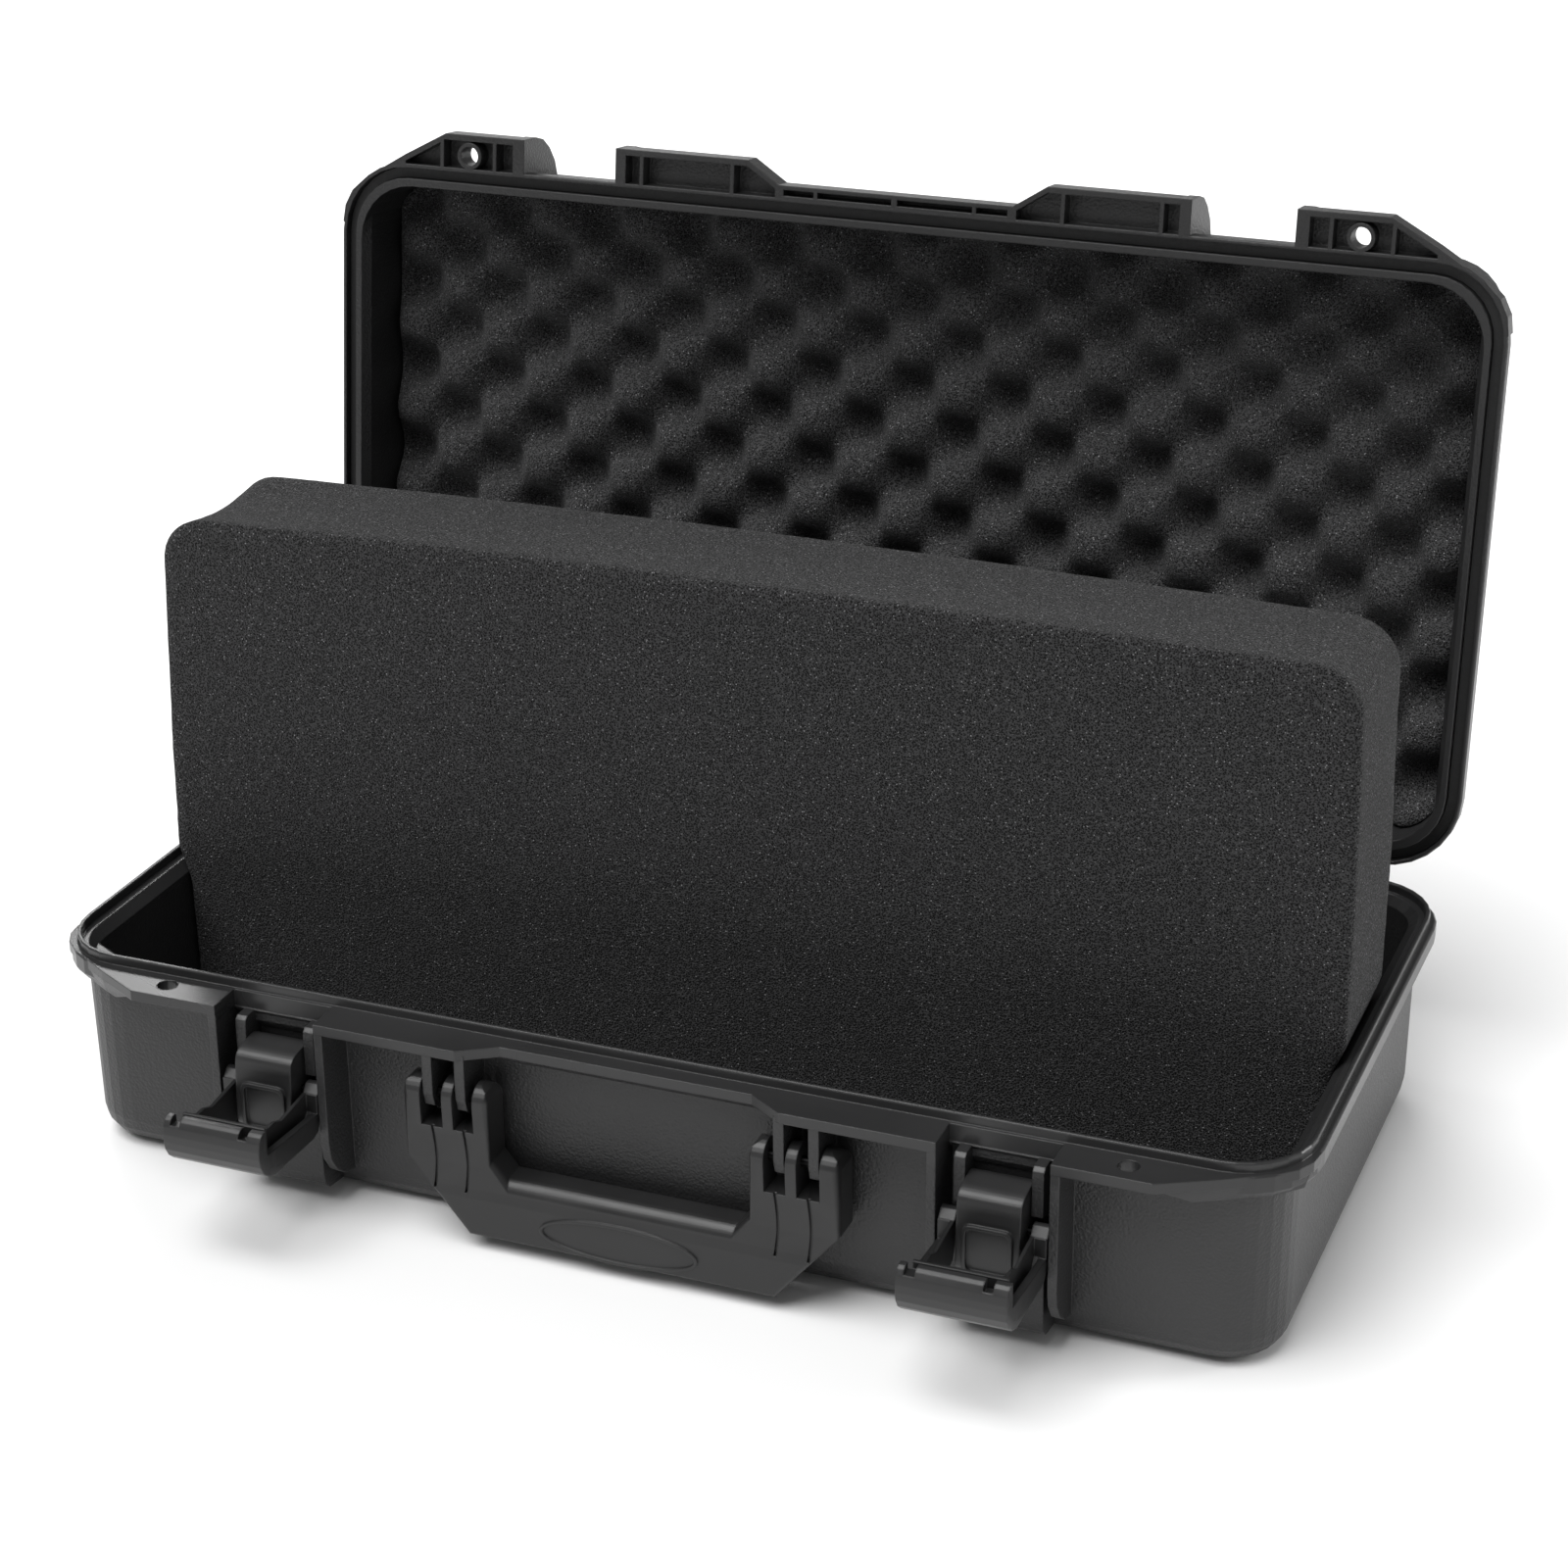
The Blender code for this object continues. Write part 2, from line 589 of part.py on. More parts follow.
def handle_blank():
    """The handle's front view as a solid whose front edges are rounded, one ring per depth."""
    corners = handle_front()
    outline = [(x, z) for x, z, _, _ in corners]
    rings = []
    for depth in ROUNDING_DEPTHS:
        insets = []
        for _, _, reach, limit in corners:
            left = max(1 - depth / limit, 0.0)
            insets.append(reach * (1 - math.sqrt(1 - left * left)))
        rings.append([(x, HANDLE_Y[0] + depth, z) for x, z in mitred(outline, insets)])
    return lofted(rings)


def handle_side():
    """Side view of the handle: round at the pivot, slightly hollow in front, flat at the grip."""
    back = HANDLE_PIVOT[0] + HANDLE_KNUCKLE_R
    outline = arc(HANDLE_PIVOT, HANDLE_KNUCKLE_R, 0, 180, 12)
    outline += [(-135.9, 44.0), (-135.4, 30.0), (-135.8, 21.0), (-136.6, 17.0), (-136.6, 1.9)]
    return outline + [(-135.6, 0.9), (-124.4, 0.9), (back, 2.4)]


def build_handle(finish):
    obj = add_object("handle", *handle_blank(), finish)
    boolean(obj, "INTERSECT", [prism(handle_side(), -100, 100, "X")])
    middle, long, short = GRIP_RING
    turns = [2 * math.pi * i / 36 for i in range(36)]
    outer = [(middle + short * math.sin(t), long * math.cos(t)) for t in turns]
    inner = [(middle + short * 0.84 * math.sin(t), long * 0.955 * math.cos(t)) for t in turns]
    boolean(obj, "UNION", [prism(outer, HANDLE_Y[0] - 0.7, -130, "Y")])
    boolean(obj, "DIFFERENCE", [prism(inner, -150, HANDLE_Y[0] - 0.02, "Y")])
    boolean(obj, "DIFFERENCE", both_sides(handle_cutters()), overlapping=True)
    boolean(obj, "DIFFERENCE", handle_grooves(), overlapping=True)
    return obj


def handle_cutters():
    """Slots for the lugs and the pin bore, on the +X arm."""
    cut = [rod(HANDLE_PIVOT, HANDLE_PIN_R + PIN_ROOM, ARM_X[0] + 1.4, ARM_X[1] - 1.4, 20)]
    for low, high in SLOTS:
        cut.append(box((low, -150, SLOT_LOW_Z), (high, -110, 80)))
    return cut


def handle_grooves():
    """The thin bowed lines under the slots; all of them bow toward +X."""
    cut = []
    for low, high in SLOTS:
        for middle in ((low + high) / 2, -(low + high) / 2):
            line = []
            for i in range(9):
                bow = GROOVE_BOW * math.sin(math.pi * i / 8)
                line.append((SLOT_LOW_Z + 0.5 - i * 3.3, middle + bow))
            half = GROOVE_WIDTH / 2
            strip = [(z, x + half) for z, x in line] + [(z, x - half) for z, x in reversed(line)]
            cut.append(prism(strip, -150, GROOVE_FLOOR_Y, "Y"))
    return cut


def ring_stack(half, corner, levels):
    """A rounded block from (z, inset) levels."""
    return lofted([ring(inset(half, by), corner - by, z) for z, by in levels])


def build_foam(finish):
    low = DATUM.z + FLOOR + FIT
    levels = [(low, 0.8), (low + 0.8, 0.0), (low + PAD_THICK, 0.0)]
    add_object("bottom_pad", *ring_stack(PAD_HALF, PAD_CORNER, levels), finish)
    outline = list(BLOCK_SIDE) + [(z, -x) for z, x in reversed(BLOCK_SIDE)]
    block = prism(smooth(outline, BLOCK_CORNER, 7), -BLOCK_THICK / 2, BLOCK_THICK / 2, "Y")
    levels = [(LID_FOAM_LOW, 0.0), (LID_TOP_Z - 9.0, 0.0), (LID_TOP_Z - LID_ROOF - FIT, 5.6)]
    lid_foam = ring_stack(LID_FOAM_HALF, LID_FOAM_CORNER, levels)
    return add_object("foam_block", *block, finish), add_object("lid_foam", *lid_foam, finish)


def hang(name, pivot, degrees, pieces):
    """Parents pieces and their helpers to an empty on the joint's axis and turns it about +X."""
    axis = bpy.data.objects.new(name, None)
    bpy.context.scene.collection.objects.link(axis)
    centre = (Vector((0.0, *pivot)) - DATUM) * MM
    axis.location = centre
    axis.rotation_euler = (math.radians(degrees), 0.0, 0.0)
    for piece in pieces:
        helpers = [m.object for m in piece.modifiers if m.type == "BOOLEAN"]
        for obj in [piece] + helpers:
            obj.parent = axis
            obj.location = -centre
    return axis


def build_pins(steel):
    for name, x in zip(("left", "centre", "right"), HINGE_X):
        half = HINGE_HALF - 1.4
        pin = rod((HINGE_Y, HINGE_Z), HINGE_PIN_R, x - half, x + half, 20)
        add_object(f"hinge_pin_{name}", *pin, steel)
    bail_pins = {}
    for name, side in (("left", -1), ("right", 1)):
        low, high = sorted((side * (ARM_X[0] + 1.6), side * (ARM_X[1] - 1.6)))
        add_object(f"handle_pin_{name}", *rod(HANDLE_PIVOT, HANDLE_PIN_R, low, high, 20), steel)
        x = side * BAY_X
        half = EAR_OUT - 1.0
        add_object(f"lever_pin_{name}", *rod(LEVER_PIVOT, LATCH_PIN_R, x - half, x + half, 16), steel)
        pin = rod(BAIL_PIVOT, LATCH_PIN_R, x - 18.2, x + 18.2, 16)
        bail_pins[name] = add_object(f"bail_pin_{name}", *pin, steel)
    return bail_pins


def main():
    clear_scene()
    plastic = material("case_plastic", PLASTIC, 0.55)
    dark = material("latch_plastic", PLASTIC_DARK, 0.45)
    rubber = material("gasket_rubber", RUBBER, 0.7)
    steel = material("pin_steel", STEEL, 0.3, 1.0)
    foam = material("foam", FOAM, 0.95)
    build_base(plastic)
    lid = build_lid(plastic)
    gasket = rim_channel(FIT, GASKET_LOW, GROOVE_TOP - FIT)
    gasket = add_object("lid_gasket", *gasket, rubber)
    block, lid_foam = build_foam(foam)
    hang("lid_axis", (HINGE_Y, HINGE_Z), -LID_OPEN_DEG, [lid, gasket, lid_foam])
    hang("block_axis", BLOCK_PIVOT, 0, [block])
    hang("handle_axis", HANDLE_PIVOT, 0, [build_handle(dark)])
    bail_pins = build_pins(steel)
    for name, side in (("left", -1), ("right", 1)):
        lever = build_lever(f"latch_lever_{name}", side * BAY_X, dark)
        bail = build_bail(f"latch_bail_{name}", side * BAY_X, dark)
        hang(f"lever_axis_{name}", LEVER_PIVOT, 0, [lever, bail_pins[name]])
        hang(f"bail_axis_{name}", BAIL_PIVOT, 0, [bail])


main()
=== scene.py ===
import json
import math

import bpy
import numpy as np
from mathutils import Matrix, Vector, noise


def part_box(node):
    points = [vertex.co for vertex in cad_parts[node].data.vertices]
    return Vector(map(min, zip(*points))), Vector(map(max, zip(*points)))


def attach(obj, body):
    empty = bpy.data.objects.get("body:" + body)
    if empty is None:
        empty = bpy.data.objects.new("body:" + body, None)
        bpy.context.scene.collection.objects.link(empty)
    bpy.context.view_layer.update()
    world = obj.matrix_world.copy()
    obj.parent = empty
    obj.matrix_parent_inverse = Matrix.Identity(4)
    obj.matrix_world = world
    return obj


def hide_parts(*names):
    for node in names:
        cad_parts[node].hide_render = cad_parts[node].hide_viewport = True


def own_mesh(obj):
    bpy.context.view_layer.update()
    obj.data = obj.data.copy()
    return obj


MM = 0.001

# Camera: place in metres, angles in degrees, lens in millimetres on a 36 mm sensor
CAMERA_AT = (0.46282, -1.12268, 0.68728)
CAMERA_YAW, CAMERA_PITCH, CAMERA_ROLL = 21.847, 24.1636, -0.5327
CAMERA_LENS, CAMERA_SENSOR = 79.11, 36.0

# Lid foam, in millimetres, drawn with the lid closed: a lattice of pits turned a little on the
# roof, the heights of its peaks and of the roof, and how far its roof edge is tucked in
WAVE_X, WAVE_Y = 41.7, 37.3
PIT_X, PIT_Y = -205.8, -86.0
WAVE_TURN = 0.024
WAVE_DEPTH, PIT_STEEPNESS = 15.5, 1.15
FOAM_PEAK_Z, FOAM_ROOF_Z = 105.4, 129.4
LID_FOAM_HALF = (237.3, 112.6)
TUCK, TUCK_REACH = 5.6, 7.28

# Foam block, in millimetres: its ends as (height, half width), and the height at the middle,
# the tilt and the bow of its top edges. The sag at its left end starts at SAG_FROM.
BLOCK_LOW, BLOCK_TALL = 10.1, 224.6
BLOCK_END_SAG, SAG_FROM, SAG_RUN = 3.2, 165.0, 60.0
BLOCK_HALF = (240.0, 30.7)
BLOCK_LEFT = [(10, 236.9), (76, 237.4), (90, 242.2), (135, 240.9), (236, 236.4)]
BLOCK_RIGHT = [(10, 236.9), (76, 237.4), (88, 242.3), (149, 242.4), (236, 240.8)]
BLOCK_TOP_FRONT, BLOCK_TOP_BACK = (236.9, 1.2, 2.9), (234.8, 0.1, 3.2)

# Bottom pad: room round it in millimetres
PAD_GAP = 0.2

# Roughness of cut foam, as wavelengths in metres
FINE_BUMP, BROAD_BUMP = 0.0035, 0.030

# Leather grain: pebbles and creases per metre, and the height of the relief in metres
PEBBLES, CREASES, GRAIN_HEIGHT = 980.0, 1900.0, 0.00034

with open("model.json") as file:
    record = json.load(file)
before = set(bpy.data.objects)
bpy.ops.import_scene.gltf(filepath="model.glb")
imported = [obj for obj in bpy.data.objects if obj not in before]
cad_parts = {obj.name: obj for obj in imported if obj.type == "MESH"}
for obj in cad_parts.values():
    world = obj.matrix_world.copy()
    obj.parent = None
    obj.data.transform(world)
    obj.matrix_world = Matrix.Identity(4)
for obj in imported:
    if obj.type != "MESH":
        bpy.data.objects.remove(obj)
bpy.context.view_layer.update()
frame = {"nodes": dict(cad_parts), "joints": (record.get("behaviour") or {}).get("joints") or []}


# ---------------------------------------------------------------- materials
class Nodes:
    """Builds one Principled material node by node."""

    def __init__(self, name):
        self.material = bpy.data.materials.new(name)
        self.material.use_nodes = True
        self.tree = self.material.node_tree
        self.shader = self.tree.nodes["Principled BSDF"]
        self.place = self.add("ShaderNodeTexCoord").outputs["Object"]

    def add(self, kind, inputs=None, **settings):
        node = self.tree.nodes.new(kind)
        for key, value in settings.items():
            setattr(node, key, value)
        for key, value in (inputs or {}).items():
            if isinstance(value, bpy.types.NodeSocket):
                self.tree.links.new(value, node.inputs[key])
            else:
                node.inputs[key].default_value = value
        return node

    def noise(self, per_metre, detail=3.0, rough=0.55, distortion=0.0):
        inputs = {"Vector": self.place, "Scale": per_metre, "Detail": detail}
        inputs.update({"Roughness": rough, "Distortion": distortion})
        return self.add("ShaderNodeTexNoise", inputs).outputs["Fac"]

    def cells(self, per_metre, feature="F1", randomness=1.0):
        inputs = {"Vector": self.place, "Scale": per_metre, "Randomness": randomness}
        return self.add("ShaderNodeTexVoronoi", inputs, feature=feature).outputs["Distance"]

    def math(self, operation, a, b=0.0, c=0.0):
        return self.add("ShaderNodeMath", {0: a, 1: b, 2: c}, operation=operation).outputs[0]

    def span(self, value, low, high, to_low=0.0, to_high=1.0):
        inputs = {"Value": value, 1: low, 2: high, 3: to_low, 4: to_high}
        return self.add("ShaderNodeMapRange", inputs).outputs[0]

    def mix(self, fac, a, b):
        node = self.add("ShaderNodeMix", data_type="RGBA")
        for key, value in ((0, fac), (6, a), (7, b)):
            if isinstance(value, bpy.types.NodeSocket):
                self.tree.links.new(value, node.inputs[key])
            else:
                node.inputs[key].default_value = value
        return node.outputs[2]

    def set(self, **values):
        for key, value in values.items():
            socket = self.shader.inputs[key.replace("_", " ")]
            if isinstance(value, bpy.types.NodeSocket):
                self.tree.links.new(value, socket)
            else:
                socket.default_value = value

    def bumps(self, layers, radius=0.0):
        """Stacks (height, distance in metres, strength) layers, starting from rounded edges."""
        normal = None
        if radius:
            normal = self.add("ShaderNodeBevel", {"Radius": radius}, samples=4).outputs[0]
        for height, distance, strength in layers:
            inputs = {"Height": height, "Distance": distance, "Strength": strength}
            if normal:
                inputs["Normal"] = normal
            normal = self.add("ShaderNodeBump", inputs).outputs[0]
        self.tree.links.new(normal, self.shader.inputs["Normal"])


def grey(level):
    """A faintly bluish grey of one linear level."""
    return (level, level, level * 1.02, 1.0)


def grained_plastic(name, low, high, axis, rim_at, wall_at):
    """Moulded plastic: smooth and glossy at the rim, leather-like grain from wall_at onwards."""
    m = Nodes(name)
    pebbles = m.cells(PEBBLES, feature="SMOOTH_F1")
    creases = m.noise(CREASES, 2.0, 0.6)
    drift = m.noise(14.0, 3.0, 0.5)
    position = m.add("ShaderNodeSeparateXYZ", {0: m.place}).outputs[axis]
    wall = m.span(position, rim_at, wall_at)
    height = m.math("ADD", m.math("MULTIPLY", pebbles, -1.0), m.math("MULTIPLY", creases, 0.5))
    m.set(Base_Color=m.mix(m.span(drift, 0.3, 0.7), grey(low), grey(high)))
    grain = m.span(creases, 0.2, 0.8, 0.38, 0.48)
    gloss = m.span(drift, 0.3, 0.7, 0.24, 0.34)
    spread = m.math("SUBTRACT", grain, gloss)
    m.set(Roughness=m.math("MULTIPLY_ADD", spread, wall, gloss))
    m.bumps([(m.math("MULTIPLY", height, wall), GRAIN_HEIGHT, 0.65)], radius=0.0008)
    return m.material


def smooth_plastic(name, low, high, roughness, radius):
    """Satin moulded plastic: faint flow variation, fine matt haze and a painted highlight along its
    sharp edges.
    """
    m = Nodes(name)
    flow = m.noise(30.0, 4.0, 0.5)
    haze = m.noise(2200.0, 2.0, 0.6)
    # Painted highlight: sharp convex edges are lightened in the base colour.
    edge = m.span(m.add("ShaderNodeNewGeometry").outputs["Pointiness"], 0.53, 0.60)
    base = m.mix(m.span(flow, 0.3, 0.7), grey(low), grey(high))
    m.set(Base_Color=m.mix(m.math("MULTIPLY", edge, 0.35), base, grey(high * 2.2)))
    m.set(Roughness=m.span(m.noise(60.0, 3.0), 0.3, 0.7, roughness - 0.04, roughness + 0.05))
    m.bumps([(haze, 0.00006, 0.35)], radius)
    return m.material


def foam_material(name, dark, light, pores_per_metre):
    """Open-cell foam: dark pores, with a few painted glints in the base colour where cells would
    catch the light.
    """
    m = Nodes(name)
    pores = m.cells(pores_per_metre)
    fine = m.noise(pores_per_metre * 1.7, 2.0, 0.7)
    painted_glint_cells = m.cells(pores_per_metre * 0.42)
    body = m.span(m.math("ADD", pores, fine), 0.72, 1.18)
    base = m.mix(body, grey(dark), grey(light))
    # Painted highlight: a few small cells are made much lighter as glints.
    painted_glint = m.span(painted_glint_cells, 0.17, 0.09)
    m.set(Base_Color=m.mix(m.math("MULTIPLY", painted_glint, 0.9), base, grey(light * 5.0)))
    m.set(Roughness=0.95, Specular_IOR_Level=0.12, Sheen_Weight=0.06, Sheen_Roughness=0.5)
    height = m.math("ADD", m.math("MULTIPLY", pores, 0.8), m.math("MULTIPLY", fine, 0.5))
    m.bumps([(height, 0.0011, 0.85)])
    return m.material


def rubber_material(name):
    """Matt rubber cord with a fine bloom."""
    m = Nodes(name)
    m.set(Base_Color=m.mix(m.noise(220.0), grey(0.010), grey(0.018)))
    m.set(Roughness=m.span(m.noise(900.0), 0.3, 0.7, 0.55, 0.7))
    m.bumps([(m.noise(2600.0), 0.00005, 0.4)])
    return m.material


def steel_material(name, level):
    """Ground steel with fine lines."""
    m = Nodes(name)
    lines = m.noise(1800.0, 2.0)
    m.set(Base_Color=m.mix(lines, grey(level * 0.8), grey(level * 1.2)), Metallic=1.0)
    m.set(Roughness=m.span(lines, 0.3, 0.7, 0.28, 0.42))
    m.bumps([(lines, 0.00003, 0.3)], radius=0.0002)
    return m.material


def dress(node, material):
    """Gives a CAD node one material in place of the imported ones."""
    mesh = frame["nodes"][node].data
    mesh.materials.clear()
    mesh.materials.append(material)


# ---------------------------------------------------------------- mesh helpers
def mesh_object(name, verts, faces, material, smooth=True):
    """A new object in the scene with one material."""
    mesh = bpy.data.meshes.new(name)
    mesh.from_pydata([tuple(v) for v in verts], [], faces)
    mesh.validate()
    obj = bpy.data.objects.new(name, mesh)
    bpy.context.scene.collection.objects.link(obj)
    mesh.materials.append(material)
    if smooth:
        mesh.polygons.foreach_set("use_smooth", [True] * len(mesh.polygons))
    return obj


def closed_lid_matrix():
    """Turns geometry modelled with the lid closed to the lid's place at rest."""
    hinge = next(joint for joint in frame["joints"] if joint["name"] == "lid_hinge")
    centre = Vector(hinge["pos_m"])
    turn = Matrix.Rotation(-math.radians(hinge["range_deg"][1]), 4, "X")
    return Matrix.Translation(centre) @ turn @ Matrix.Translation(-centre)


# ---------------------------------------------------------------- foam pieces
def fit_to_corners(x, y, half, corner):
    """Pulls a square grid into a rounded rectangle by drawing in the points near its corners."""
    ax, ay = half[0] - corner, half[1] - corner
    dx, dy = np.abs(x) - ax, np.abs(y) - ay
    over = (dx > 0) & (dy > 0)
    scale = np.where(over, np.maximum(dx, dy) / np.maximum(np.hypot(dx, dy), 1e-9), 1.0)
    px = np.where(over, np.sign(x) * (ax + dx * scale), x)
    py = np.where(over, np.sign(y) * (ay + dy * scale), y)
    return px, py


def foam_slab(half, corner, low, high, pitch, edge, levels):
    """A closed slab over a rounded rectangle, in millimetres, from two height fields.

    Its faces have a point every pitch and its side has so many levels. The rims of both faces
    are drawn in by the edge, which rounds them once shaded smooth."""
    counts = [round(2 * size / pitch) for size in half]
    gx, gy = np.meshgrid(*[np.linspace(-h, h, n + 1) for h, n in zip(half, counts)], indexing="ij")
    shrink = [(h - edge) / h for h in half]
    px, py = fit_to_corners(gx, gy, half, corner)
    fx, fy = px * shrink[0], py * shrink[1]
    rows = counts[1] + 1
    size = fx.size
    verts = [np.stack([fx.ravel(), fy.ravel(), high(fx, fy).ravel()], 1)]
    verts.append(np.stack([fx.ravel(), fy.ravel(), low(fx, fy).ravel()], 1))
    faces = []
    for i in range(counts[0]):
        for j in range(counts[1]):
            a, b = i * rows + j, (i + 1) * rows + j
            faces.append((a, b, b + 1, a + 1))
            faces.append((a + 1 + size, b + 1 + size, b + size, a + size))
    border = [i * rows for i in range(counts[0])]
    border += [counts[0] * rows + j for j in range(counts[1])]
    border += [i * rows + counts[1] for i in range(counts[0], 0, -1)]
    border += list(range(counts[1], 0, -1))
    bx, by = px.ravel()[border], py.ravel()[border]
    upper, lower = high(bx, by), low(bx, by)
    loops = [border]
    start = 2 * size
    for k in range(levels + 1):
        t = k / levels
        verts.append(np.stack([bx, by, (upper - edge) * (1 - t) + (lower + edge) * t], 1))
        loops.append(list(range(start, start + len(border))))
        start += len(border)
    loops.append([index + size for index in border])
    for upper_loop, lower_loop in zip(loops, loops[1:]):
        for j in range(len(border)):
            k = (j + 1) % len(border)
            faces.append((upper_loop[k], upper_loop[j], lower_loop[j], lower_loop[k]))
    return np.concatenate(verts), faces


def roughen(obj, amount, seed):
    """Moves each vertex a little along its normal by repeatable noise at two scales."""
    shift = Vector((seed * 7.3, seed * 3.1, seed * 5.7))
    mesh = obj.data
    normals = [vertex.normal.copy() for vertex in mesh.vertices]
    for vertex, normal in zip(mesh.vertices, normals):
        fine = noise.noise(vertex.co / FINE_BUMP + shift)
        broad = noise.noise(vertex.co / BROAD_BUMP + shift)
        vertex.co += normal * amount * (0.5 * fine + broad)


def flat(level):
    """A level height field."""
    return lambda x, y: np.full_like(x, level)


def wave_height(x, y):
    """Lid foam surface below the closed lid's roof: rounded peaks between deeper pits."""
    dx, dy = x - PIT_X, y - PIT_Y
    across = 2 * math.pi * (dx + WAVE_TURN * dy) / WAVE_X
    along = 2 * math.pi * (dy - WAVE_TURN * dx) / WAVE_Y
    wave = np.cos(across) * np.cos(along)
    u = ((1 + wave) / 2) ** PIT_STEEPNESS
    return FOAM_PEAK_Z + WAVE_DEPTH * u * u * (3 - 2 * u)


def finish_foam(obj, body, node):
    """Fixes a foam piece to its body in place of its plain CAD solid."""
    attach(obj, body)
    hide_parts(node)


def make_lid_foam(material):
    """The wavy lid foam, its roof edge tucked in where the lid's inner corner is rounded."""
    half = LID_FOAM_HALF
    roof = flat(FOAM_ROOF_Z)
    verts, faces = foam_slab(half, 17.0, wave_height, roof, pitch=3.0, edge=0.6, levels=5)
    near = np.clip(1 - (FOAM_ROOF_Z - verts[:, 2]) / TUCK_REACH, 0, None)
    verts[:, 0] *= 1 - near * TUCK / half[0]
    verts[:, 1] *= 1 - near * TUCK / half[1]
    obj = mesh_object("lid_wave_foam", verts * MM, faces, material)
    roughen(obj, amount=0.0003, seed=1)
    obj.data.transform(closed_lid_matrix())
    finish_foam(obj, "lid", "lid_foam")


def bowed_edge(x, edge):
    """Height of a top edge of the block along x."""
    middle, tilt, bow = edge
    along = x / BLOCK_HALF[0]
    return middle + tilt * along - bow * along ** 2


def make_block(material):
    """The standing foam block: a sawn slab, wider above the case's rim, its top edge bowed."""
    width, half_depth = BLOCK_HALF
    size = (width, BLOCK_TALL / 2)
    front_face, back_face = flat(-half_depth), flat(half_depth)
    verts, faces = foam_slab(size, 18.0, front_face, back_face, pitch=4.0, edge=1.1, levels=14)
    x, up, depth = verts[:, 0], verts[:, 1] + size[1], verts[:, 2]
    front, back = bowed_edge(x, BLOCK_TOP_FRONT), bowed_edge(x, BLOCK_TOP_BACK)
    across = (depth / half_depth + 1) / 2
    near_end = np.clip((-x - SAG_FROM) / SAG_RUN, 0.0, 1.0)
    sag = BLOCK_END_SAG * np.sin(math.pi * across) * near_end
    top = front + (back - front) * across - sag
    z = BLOCK_LOW + up * (top - BLOCK_LOW) / BLOCK_TALL
    left, right = (np.interp(z, *np.array(end).T) for end in (BLOCK_LEFT, BLOCK_RIGHT))
    verts = np.stack([x * np.where(x < 0, left, right) / width, depth, z], 1)
    faces = [face[::-1] for face in faces]
    obj = mesh_object("foam_block_soft", verts * MM, faces, material)
    roughen(obj, amount=0.00028, seed=2)
    finish_foam(obj, "block", "foam_block")
    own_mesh(obj)


def make_pad(material):
    """The thin foam sheet on the base's floor."""
    low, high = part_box("bottom_pad")
    centre, half = (low + high) / 2, (high - low) / 2
    size = (half.x / MM - PAD_GAP, half.y / MM - PAD_GAP)
    thick = half.z / MM - PAD_GAP / 2
    verts, faces = foam_slab(size, 15.0, flat(-thick), flat(thick), pitch=4.0, edge=0.7, levels=2)
    obj = mesh_object("bottom_pad_soft", verts * MM, faces, material)
    obj.data.transform(Matrix.Translation(centre))
    roughen(obj, amount=0.00008, seed=3)
    finish_foam(obj, "base", "bottom_pad")


# ---------------------------------------------------------------- studio
def area_light(name, at, target, size, power):
    """A soft rectangular light: places and size in metres, power in watts."""
    data = bpy.data.lights.new(name, "AREA")
    data.shape = "RECTANGLE"
    data.size, data.size_y = size
    data.energy = power
    lamp = bpy.data.objects.new(name, data)
    lamp.location = at
    lamp.rotation_euler = (Vector(target) - Vector(at)).to_track_quat("-Z", "Y").to_euler()
    bpy.context.scene.collection.objects.link(lamp)


def soft_sun(name, toward, strength, width_deg):
    """A wide, distant light shining from the direction given."""
    data = bpy.data.lights.new(name, "SUN")
    data.energy = strength
    data.angle = math.radians(width_deg)
    lamp = bpy.data.objects.new(name, data)
    lamp.rotation_euler = Vector(toward).to_track_quat("Z", "Y").to_euler()
    bpy.context.scene.collection.objects.link(lamp)


def make_floor():
    """A plain pale floor just under the case."""
    half = 6.0
    corners = [(-half, -half, 0), (half, -half, 0), (half, half, 0), (-half, half, 0)]
    m = Nodes("studio_floor")
    m.set(Base_Color=(0.93, 0.93, 0.93, 1.0), Roughness=0.9, Specular_IOR_Level=0.1)
    floor = mesh_object("studio_floor", corners, [(0, 1, 2, 3)], m.material, smooth=False)
    floor.location.z = -0.0006


def make_world():
    """Even white surroundings."""
    world = bpy.context.scene.world or bpy.data.worlds.new("studio")
    bpy.context.scene.world = world
    world.use_nodes = True
    background = world.node_tree.nodes["Background"]
    background.inputs["Color"].default_value = (1.0, 1.0, 1.0, 1.0)
    background.inputs["Strength"].default_value = 0.30
    bpy.context.scene.view_settings.view_transform = "Standard"


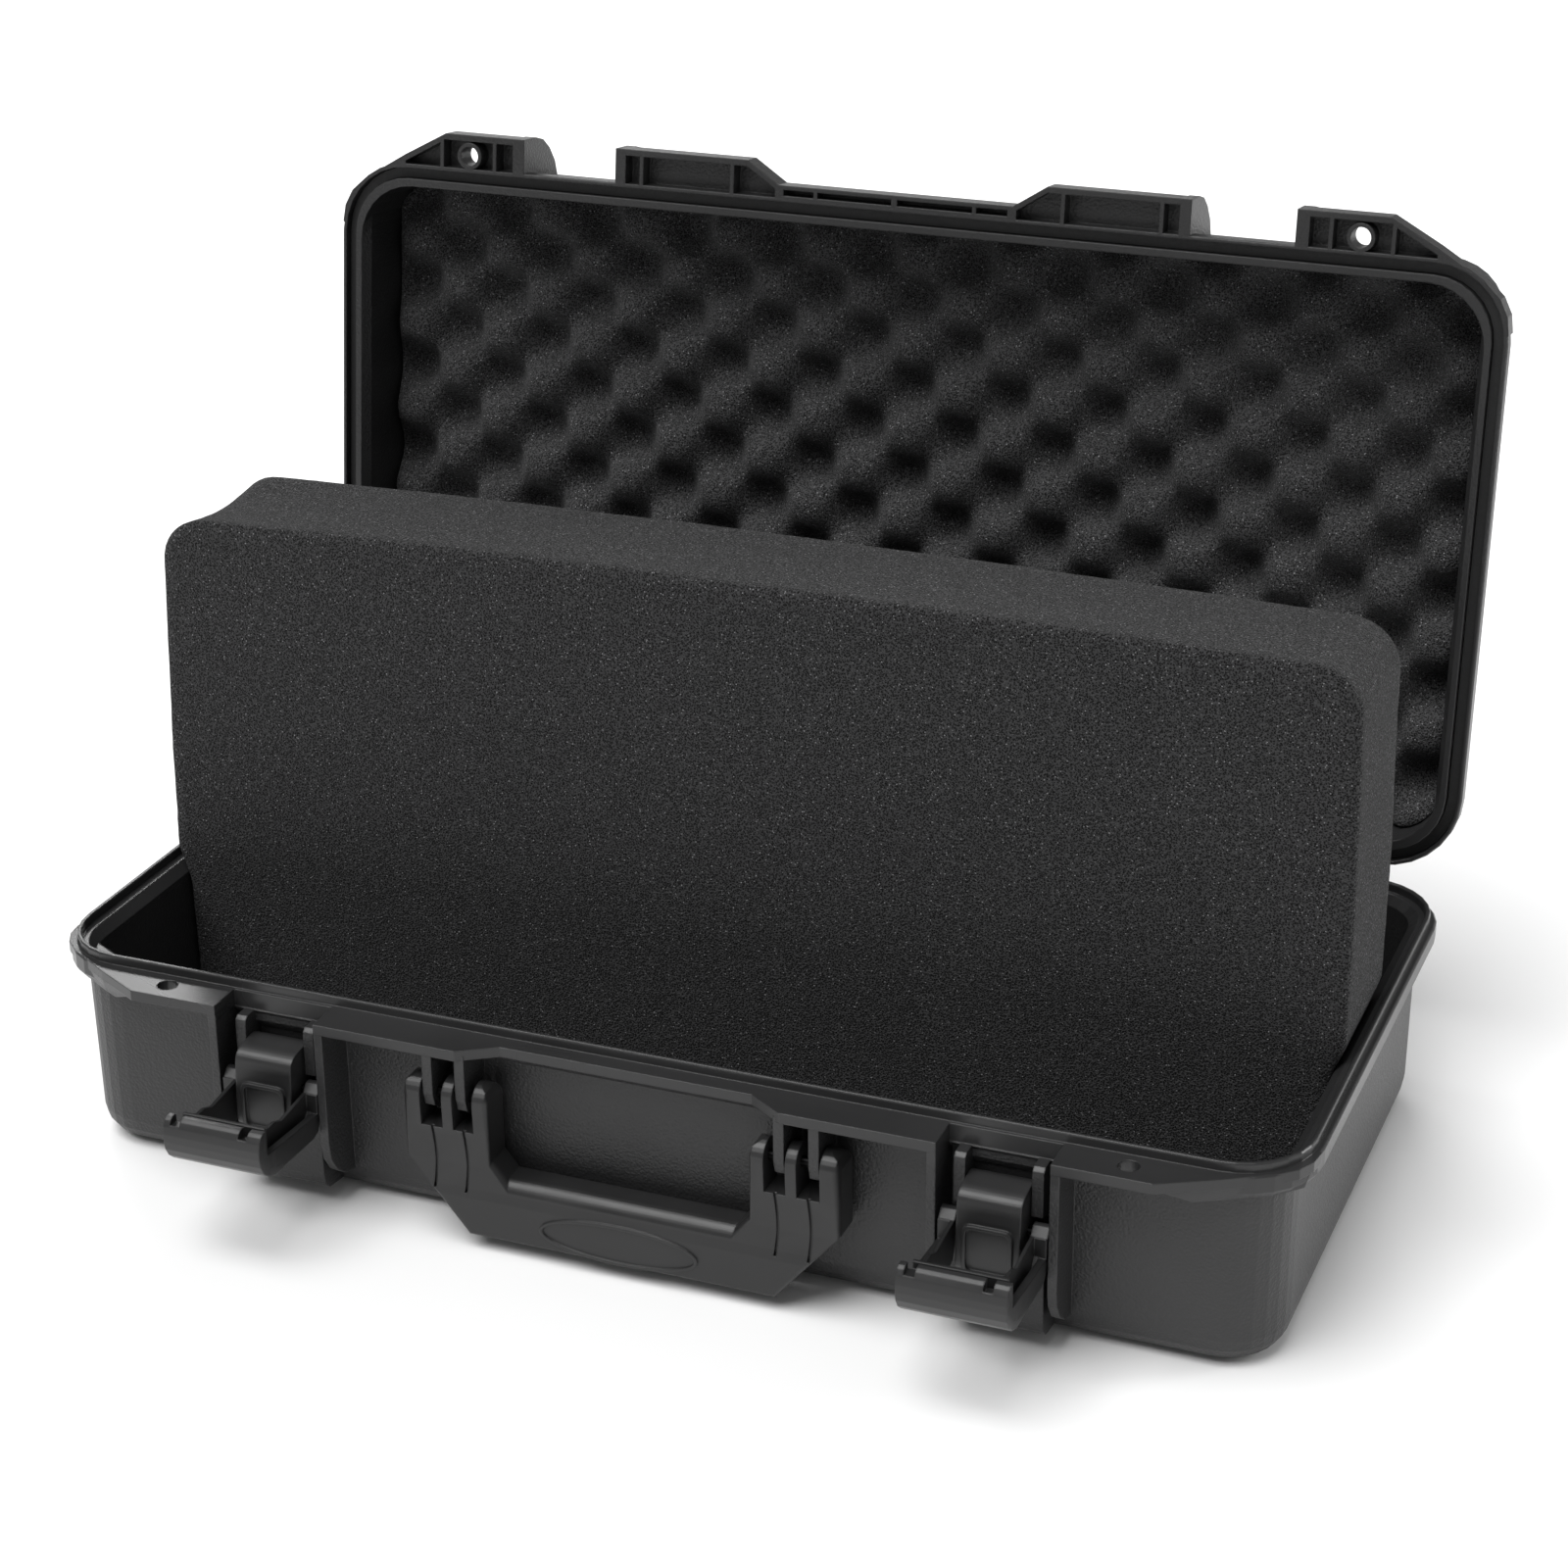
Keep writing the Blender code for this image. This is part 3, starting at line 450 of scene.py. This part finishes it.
def make_lights():
    """A soft light from above, a strip behind the left end and a fill behind the right end."""
    soft_sun("overhead", toward=(-0.35, -0.55, 1.5), strength=2.9, width_deg=50.0)
    area_light("back_strip", at=(-1.2, 1.9, 1.5), target=(0, 0, 0.15), size=(1.6, 0.3), power=22)
    area_light("fill", at=(1.9, 0.9, 0.7), target=(0, 0, 0.1), size=(0.5, 1.0), power=14)


def make_camera():
    """The viewing camera: yaw from straight ahead, pitch below the horizon, roll about its axis."""
    data = bpy.data.cameras.new("camera")
    data.sensor_width = CAMERA_SENSOR
    data.lens = CAMERA_LENS
    camera = bpy.data.objects.new("camera", data)
    yaw, pitch, roll = (math.radians(a) for a in (CAMERA_YAW, CAMERA_PITCH, CAMERA_ROLL))
    turn = Matrix.Rotation(yaw, 4, "Z") @ Matrix.Rotation(math.pi / 2 - pitch, 4, "X")
    camera.matrix_world = Matrix.Translation(CAMERA_AT) @ turn @ Matrix.Rotation(roll, 4, "Z")
    bpy.context.scene.collection.objects.link(camera)
    bpy.context.scene.camera = camera


def dress_cad_nodes():
    """Materials for every CAD node that stays visible."""
    base_plastic = grained_plastic("base_plastic", 0.020, 0.027, "Z", rim_at=0.076, wall_at=0.072)
    lid_plastic = grained_plastic("lid_plastic", 0.016, 0.022, "Y", rim_at=0.138, wall_at=0.142)
    latch = smooth_plastic("latch_plastic_fine", 0.012, 0.017, roughness=0.36, radius=0.0009)
    rubber = rubber_material("gasket_rubber_fine")
    steel = steel_material("pin_steel_fine", 0.45)
    dark_steel = steel_material("pin_steel_blackened", 0.012)
    finishes = {"base_shell": base_plastic, "lid_shell": lid_plastic, "lid_gasket": rubber}
    for node in frame["nodes"]:
        if node in finishes:
            dress(node, finishes[node])
        elif "hinge_pin" in node:
            dress(node, steel)
        elif "pin" in node:
            dress(node, dark_steel)
        elif "foam" not in node and "pad" not in node:
            dress(node, latch)


make_camera()
make_floor()
make_world()
make_lights()
dress_cad_nodes()
block_foam = foam_material("charcoal_foam", 0.0015, 0.056, pores_per_metre=1250.0)
make_block(block_foam)
# The lid foam is the block's charcoal foam with its colour painted lighter, standing in for more
# light on it inside the lid.
make_lid_foam(foam_material("charcoal_foam_painted_lighter", 0.006, 0.080, pores_per_metre=1250.0))
make_pad(block_foam)
